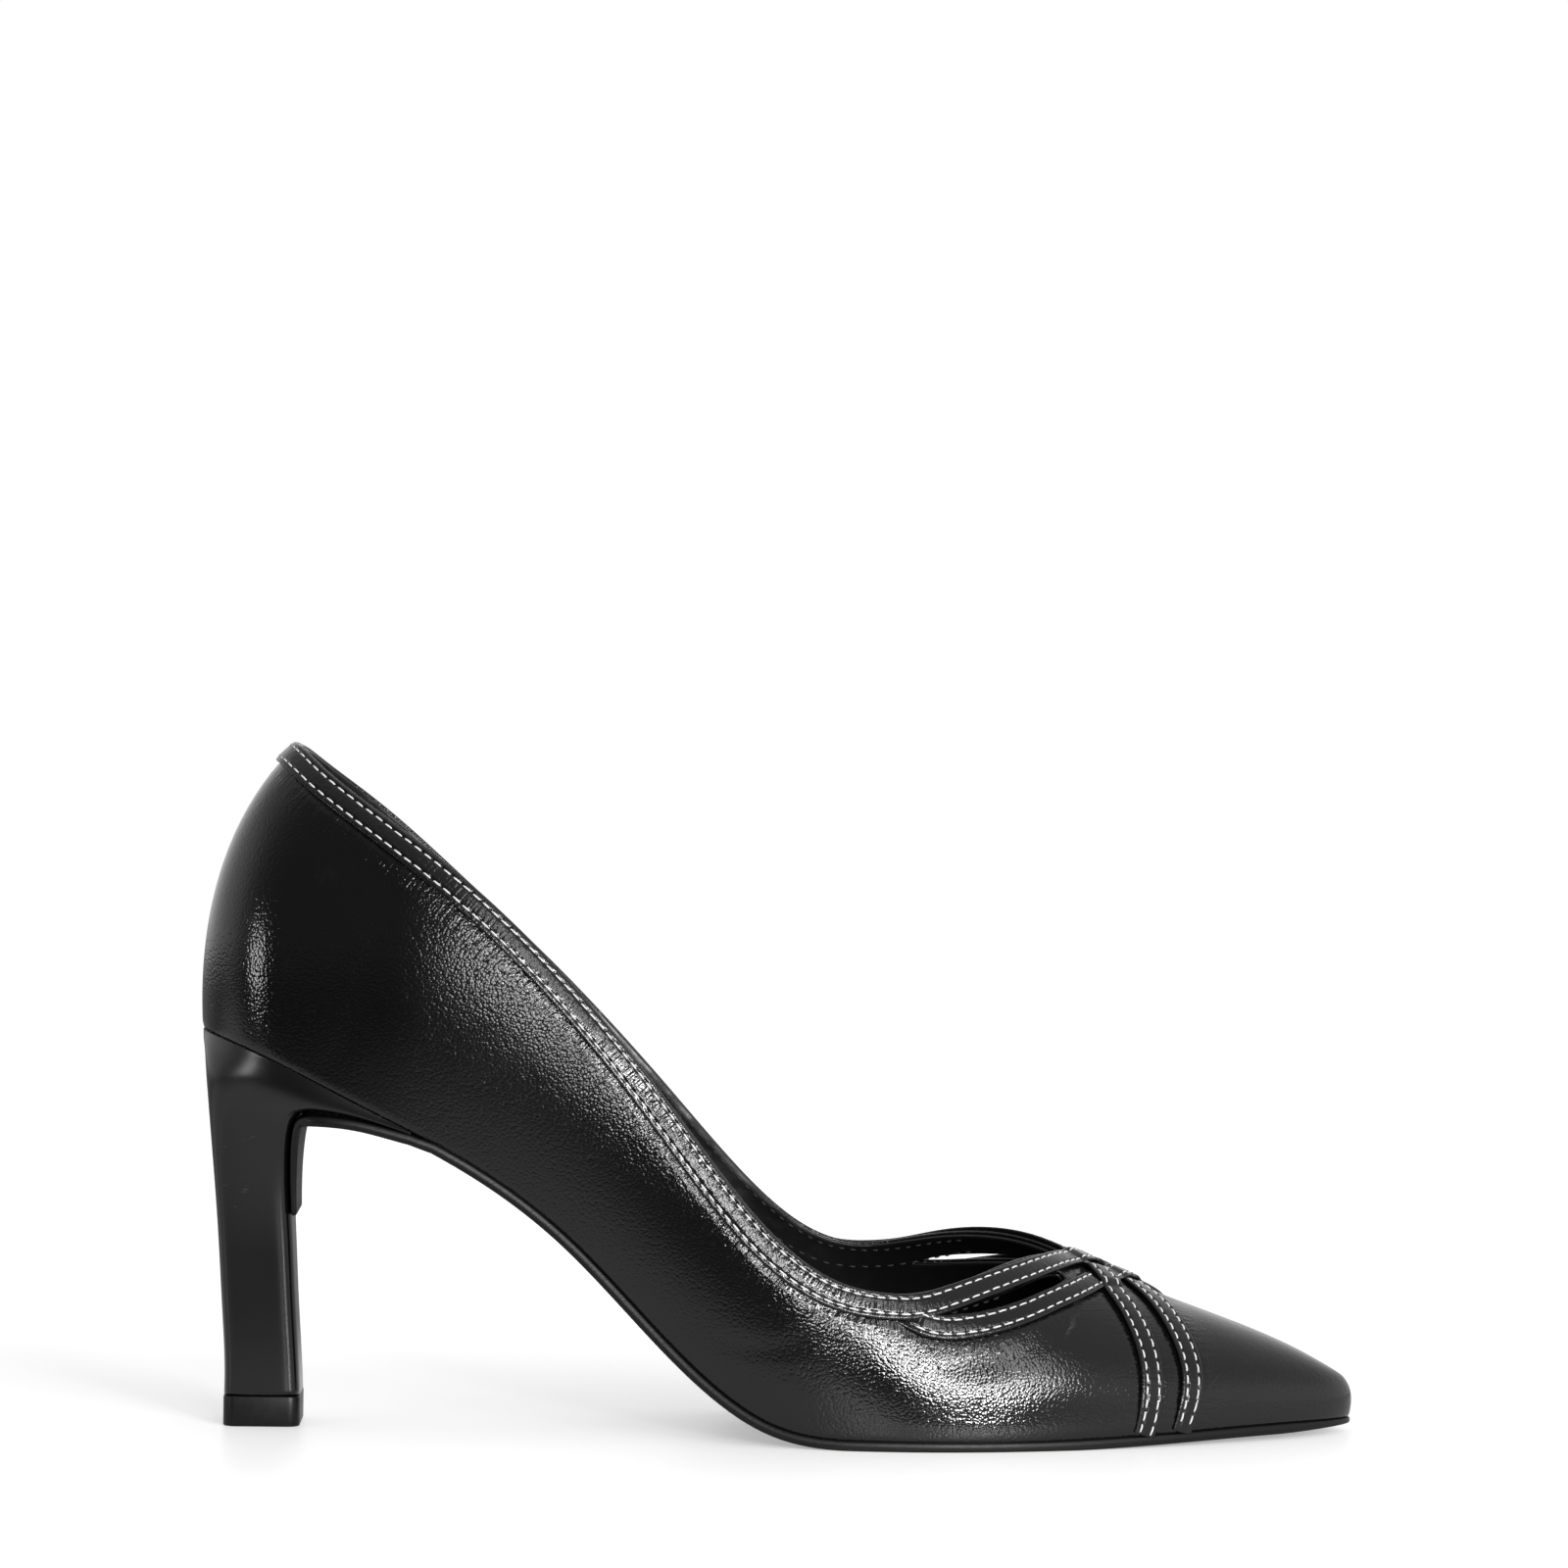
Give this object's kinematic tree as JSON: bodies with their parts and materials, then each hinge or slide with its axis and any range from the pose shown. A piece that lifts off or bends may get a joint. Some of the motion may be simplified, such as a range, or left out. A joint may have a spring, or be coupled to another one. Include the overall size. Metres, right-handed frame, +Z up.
{
  "type": "pump shoe",
  "caption": "Women's pointed leather pump with crossed raised straps over the vamp, lens-shaped cut-outs and a slim covered block heel; right shoe.",
  "frame": {"origin": "middle of the shoe's box, on the floor it stands on", "axes": "+X towards the toe, +Y towards the inner side of the foot, +Z up"},
  "size_m": [0.24, 0.0752, 0.1414],
  "materials": {
    "leather": "smooth black leather with a fine grain and a soft gloss",
    "strap_leather": "black leather strips edged with white lockstitching",
    "sock": "matt black lining leather",
    "heel_leather": "black leather cover, lightly scuffed",
    "sole": "black sole leather with a dull edge",
    "lift": "matt black rubber"
  },
  "bodies": {
    "root": {"upper": "leather", "straps": "strap_leather", "insole": "sock", "heel": "heel_leather", "outsole": "sole", "top_lift": "lift"}
  },
  "joints": []
}
